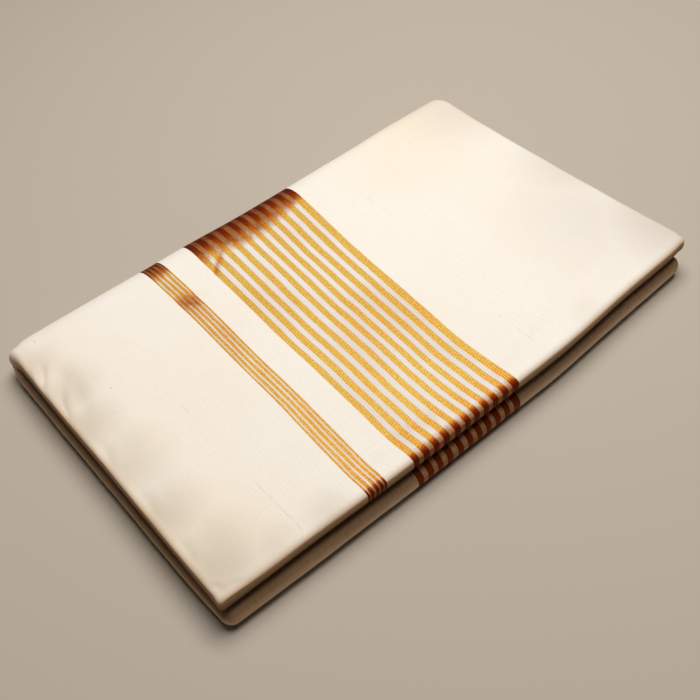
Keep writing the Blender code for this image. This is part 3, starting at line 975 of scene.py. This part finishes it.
def markLines(tree, coords, lines):
    # thin marks that run along the cloth
    across, along = splitVector(tree, coords)
    wander = addRange(tree, addNoise(tree, coords, 30.0, 1.0, 0.5), 0.3, 0.7, -1.0, 1.0)
    across = plus(tree, across, multiply(tree, wander, 0.0006))
    marks = []
    for x, start, stop in lines:
        line = addMath(tree, "COMPARE", across, x, cotton["markWidth"])
        inside = addMath(tree, "COMPARE", along, (start + stop) / 2, abs(stop - start) / 2)
        marks.append(multiply(tree, line, inside))
    patchy = addRange(tree, addNoise(tree, coords, 120.0, 2.0, 0.6), 0.42, 0.60)
    return multiply(tree, strongest(tree, marks), patchy)


def makeCotton(name, marked):
    material, tree, shader = newMaterial(name)
    coords = uvOf(tree, "cloth")
    color, mottle, weave = cottonColor(tree, coords)
    if marked:
        lines = multiply(tree, markLines(tree, coords, slubLines), 0.30)
        color = mixColor(tree, lines, color, cotton["threadLine"])
        spots = softPatches(tree, coords, [(x, y, cotton["speckRadius"], 0.6) for x, y in specks])
        color = mixColor(tree, spots, color, cotton["speck"])
    fine = addBump(tree, weave["Height"], 0.4, cotton["weaveDepth"])
    feed(tree, shader, {
        "Base Color": color,
        "Normal": addBump(tree, mottle["Nap"], 0.22, 0.0002, fine),
        "Roughness": cotton["roughness"],
        "Specular IOR Level": cotton["specular"],
        "Sheen Weight": cotton["sheen"],
        "Sheen Roughness": cotton["sheenRoughness"],
    })
    return material


# Gold bands: each list runs from cloth lying flat to cloth turned away round a fold, darkened to copper as
# painted shade and reflection
zari = {
    "gold": [
        (0.0, paint(224, 192, 98)), (0.14, paint(220, 165, 70)), (0.24, paint(206, 140, 50)),
        (0.34, paint(190, 117, 36)), (0.43, paint(174, 94, 24)), (0.52, paint(156, 74, 16)),
        (0.62, paint(136, 58, 10)), (0.80, paint(118, 41, 4)), (1.0, paint(98, 30, 3)),
    ],
    "gap": [
        (0.0, paint(231, 227, 228)), (0.14, paint(216, 200, 190)), (0.24, paint(200, 166, 138)),
        (0.36, paint(180, 136, 102)), (0.46, paint(174, 122, 84)), (0.56, paint(170, 114, 74)),
        (0.67, paint(166, 108, 68)), (0.80, paint(151, 93, 55)), (1.0, paint(128, 74, 42)),
    ],
    "ribShade": (0.62, 0.41, 0.18, 1),
    "lineShade": (0.16, 0.07, 0.04, 1),
    # painted highlight on the gold threads
    "paintedGlint": paint(255, 228, 150),
    "metallic": 0.40,
    "roughness": 0.60,
    "cottonRoughness": 0.85,
    "specular": 0.04,
    "threadDepth": 0.00016,
    "wander": 0.0004,
}

# Gold stripes of each band, as shares of its width; the last one ends at the band's edge
broadStripes = [
    (0.0, 0.047), (0.086, 0.142), (0.1825, 0.2336), (0.277, 0.332), (0.376, 0.427), (0.471, 0.522),
    (0.562, 0.613), (0.650, 0.701), (0.741, 0.796), (0.839, 0.891), (0.931, 1.0),
]
narrowStripes = [(0.0, 0.107), (0.167, 0.333), (0.417, 0.583), (0.655, 0.821), (0.881, 1.0)]


def stripeStops(stripes):
    # white where each gold stripe starts and black where it ends
    black, white = (0, 0, 0, 1), (1, 1, 1, 1)
    return [stop for start, end in stripes for stop in ((start, white), (end, black))]


def makeBand(name, stripes, width, ribs, gapLines, dash):
    material, tree, shader = newMaterial(name)
    coords, bandUv = uvOf(tree, "cloth"), uvOf(tree, "band")
    turn = attributeOf(tree, "turned")
    across, along = splitVector(tree, bandUv)
    wander = addRange(tree, threadNoise(tree, bandUv, (3.0, 26.0, 1), 2.0, 0.5), 0.3, 0.7, -1.0, 1.0)
    share = plus(tree, across, multiply(tree, wander, zari["wander"] / width))
    share = addMath(tree, "MINIMUM", addMath(tree, "MAXIMUM", share, 0.0001), 0.9999)

    # stripe is 1 on the gold; local runs down across each stripe and up across each gap
    stops = stripeStops(stripes)
    stripe, local = addRamp(tree, share, stops[:-1], "CONSTANT"), addRamp(tree, share, stops)
    thread = useGroup(tree, zariGroup, Local=local, Along=along, Cloth=coords, Ribs=ribs, Dash=dash)
    mottle = useGroup(tree, mottleGroup, Cloth=coords)
    weave = useGroup(tree, weaveGroup, Cloth=coords)

    # the painted copper shade comes and goes thread by thread, and in soft patches with the gold's own tint
    fray = addRange(tree, threadNoise(tree, coords, (620, 150, 1), 2.0, 0.6), 0.3, 0.7, -0.07, 0.07)
    cloud = addRange(tree, threadNoise(tree, coords, (80, 60, 1), 1.0, 0.5), 0.3, 0.7, -0.06, 0.06)
    uneven = plus(tree, fray, cloud)
    ragged = multiply(tree, uneven, addRange(tree, turn, 0.0, 0.2))
    patch = addRange(tree, mottle["Patch"], 0.45, 0.72, 0.0, 0.08)
    turn = plus(tree, plus(tree, turn, ragged), patch)
    gold = mixColor(tree, thread["Dark"], addRamp(tree, turn, zari["gold"]), zari["ribShade"], "MULTIPLY")
    # painted highlight: bright glints on the ribs, fading as the gold turns
    paintedGlint = multiply(tree, thread["Glint"], addRange(tree, turn, 0.0, 0.5, 0.36, 0.0))
    gold = mixColor(tree, paintedGlint, gold, zari["paintedGlint"])

    # pale gaps: cotton with a few thin threads, darkened round the folds as painted shade
    held = attributeOf(tree, "shade")
    gapTurn = addMath(tree, "SUBTRACT", turn, held)
    line = addMath(tree, "COSINE", multiply(tree, local, 2 * math.pi * gapLines))
    line = multiply(tree, addRange(tree, line, -0.1, -0.8), addRange(tree, uneven, -0.10, 0.06, 0.60, 1.0))
    line = multiply(tree, line, addRange(tree, gapTurn, 0.0, 0.40, 0.12, 1.0))
    line = multiply(tree, line, addRange(tree, held, 0.0, 0.35, 1.0, 0.35))
    gap = mixColor(tree, line, addRamp(tree, gapTurn, zari["gap"]), zari["lineShade"], "MULTIPLY")
    grain = addRange(tree, mottle["Nap"], 0.36, 0.66)
    grain = multiply(tree, grain, addRange(tree, turn, 0.0, 0.40, 0.20, 0.0))
    gap = mixColor(tree, grain, gap, cotton["grain"])

    fine = addBump(tree, weave["Height"], 0.4, cotton["weaveDepth"])
    threadHeight = multiply(tree, stripe, plus(tree, thread["Height"], 1.0))
    feed(tree, shader, {
        "Base Color": mixColor(tree, stripe, gap, gold),
        "Metallic": multiply(tree, stripe, zari["metallic"]),
        "Roughness": addRange(tree, stripe, 0.0, 1.0, zari["cottonRoughness"], zari["roughness"]),
        "Normal": addBump(tree, threadHeight, 0.5, zari["threadDepth"], fine),
        "Specular IOR Level": zari["specular"],
    })
    return material


# Edges of the hidden layers, seen in the mouth between the bundles, painted darker and browner than the cloth
# outside as shade
inner = {"dark": (0.42, 0.33, 0.23, 1), "pale": (0.75, 0.66, 0.54, 1), "roughness": 0.92, "depth": 0.0003}


def makeShadedInnerCotton():
    material, tree, shader = newMaterial("shadedInnerCotton")
    coords = tree.nodes.new("ShaderNodeTexCoord").outputs["Object"]
    stripes = threadNoise(tree, coords, (6, 6, 1400), 2.0, 0.6)
    nap = addNoise(tree, coords, 700.0, 3.0, 0.6)
    color = mixColor(tree, addRange(tree, stripes, 0.35, 0.65), inner["dark"], inner["pale"])
    bump = addBump(tree, plus(tree, nap, stripes), 0.5, inner["depth"])
    feed(tree, shader, {"Base Color": color, "Normal": bump, "Roughness": inner["roughness"]})
    return material


materials = {
    "plainCotton": makeCotton("plainCotton", True),
    "lowerCotton": makeCotton("lowerCotton", False),
    "broadZari": makeBand("broadZari", broadStripes, 0.110, 4, 3, 0.0024),
    "narrowZari": makeBand("narrowZari", narrowStripes, 0.0168, 2, 1, 0.0022),
    "shadedInnerCotton": makeShadedInnerCotton(),
}
finishes = {"upperNarrowBand": "narrowZari", "upperBroadBand": "broadZari", "lowerBroadBand": "broadZari"}

for stretch in stretches:
    name = stretch["name"]
    sheet = sheets[name]
    finish = finishes.get(name, "plainCotton" if stretch["side"] == "upper" else "lowerCotton")
    sheet.data.materials.append(materials[finish])
    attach(sheet, "root")
    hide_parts(stretch["node"])
foldedLayers.data.materials.append(materials["shadedInnerCotton"])
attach(foldedLayers, "root")
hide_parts("inner_layers")
print("materials made:", len(materials))

# Floor, lights and camera
studio = {
    "floorColor": (0.46, 0.41, 0.35, 1),
    "worldColor": (1.0, 0.80, 0.60, 1),
    "worldStrength": 0.05,
    "keyPlace": (0.34, 0.20, 1.70),
    "keySize": 1.1,
    "keyPower": 37.4,
    "keyColor": (1.0, 0.96, 0.90),
    "floorSize": 6,
    "floorDrop": 0.0002,
    "floorRoughness": 0.9,
}
bpy.ops.object.select_all(action="DESELECT")
bpy.ops.mesh.primitive_plane_add(size=studio["floorSize"], location=(0, 0, -studio["floorDrop"]))
floor = bpy.context.object
floor.name = "floor"
floorMaterial, floorTree, floorShader = newMaterial("paleFloor")
feed(floorTree, floorShader, {"Base Color": studio["floorColor"], "Roughness": studio["floorRoughness"]})
floor.data.materials.append(floorMaterial)

world = bpy.data.worlds.new("studio")
scene.world = world
world.use_nodes = True
background = world.node_tree.nodes["Background"]
feed(world.node_tree, background, {"Color": studio["worldColor"], "Strength": studio["worldStrength"]})

keyLight = bpy.data.lights.new("key", "AREA")
keyLight.shape, keyLight.size = "SQUARE", studio["keySize"]
keyLight.energy, keyLight.color = studio["keyPower"], studio["keyColor"]
key = bpy.data.objects.new("key", keyLight)
scene.collection.objects.link(key)
key.location = studio["keyPlace"]
key.rotation_euler = (-Vector(studio["keyPlace"])).to_track_quat("-Z", "Y").to_euler()

view = {
    "lens": 48.04,
    "place": (-0.33265, -0.42949, 0.58876),
    "right": (0.75371851, -0.65447494, -0.05975758),
    "up": (0.52549033, 0.54556529, 0.65285406),
    "back": (-0.39467496, -0.52347022, 0.75512291),
}
camera = bpy.data.objects.new("camera", bpy.data.cameras.new("camera"))
scene.collection.objects.link(camera)
camera.data.lens, camera.data.sensor_width = view["lens"], 36
camera.data.clip_start, camera.data.clip_end = 0.01, 20
axes = Matrix((view["right"], view["up"], view["back"])).transposed()
camera.matrix_world = Matrix.Translation(view["place"]) @ axes.to_4x4()
bpy.context.scene.camera = camera
scene.view_settings.view_transform = "Standard"
# keeps the fine threads that the denoiser would smooth away
scene.cycles.denoising_prefilter = "NONE"
print("studio set")
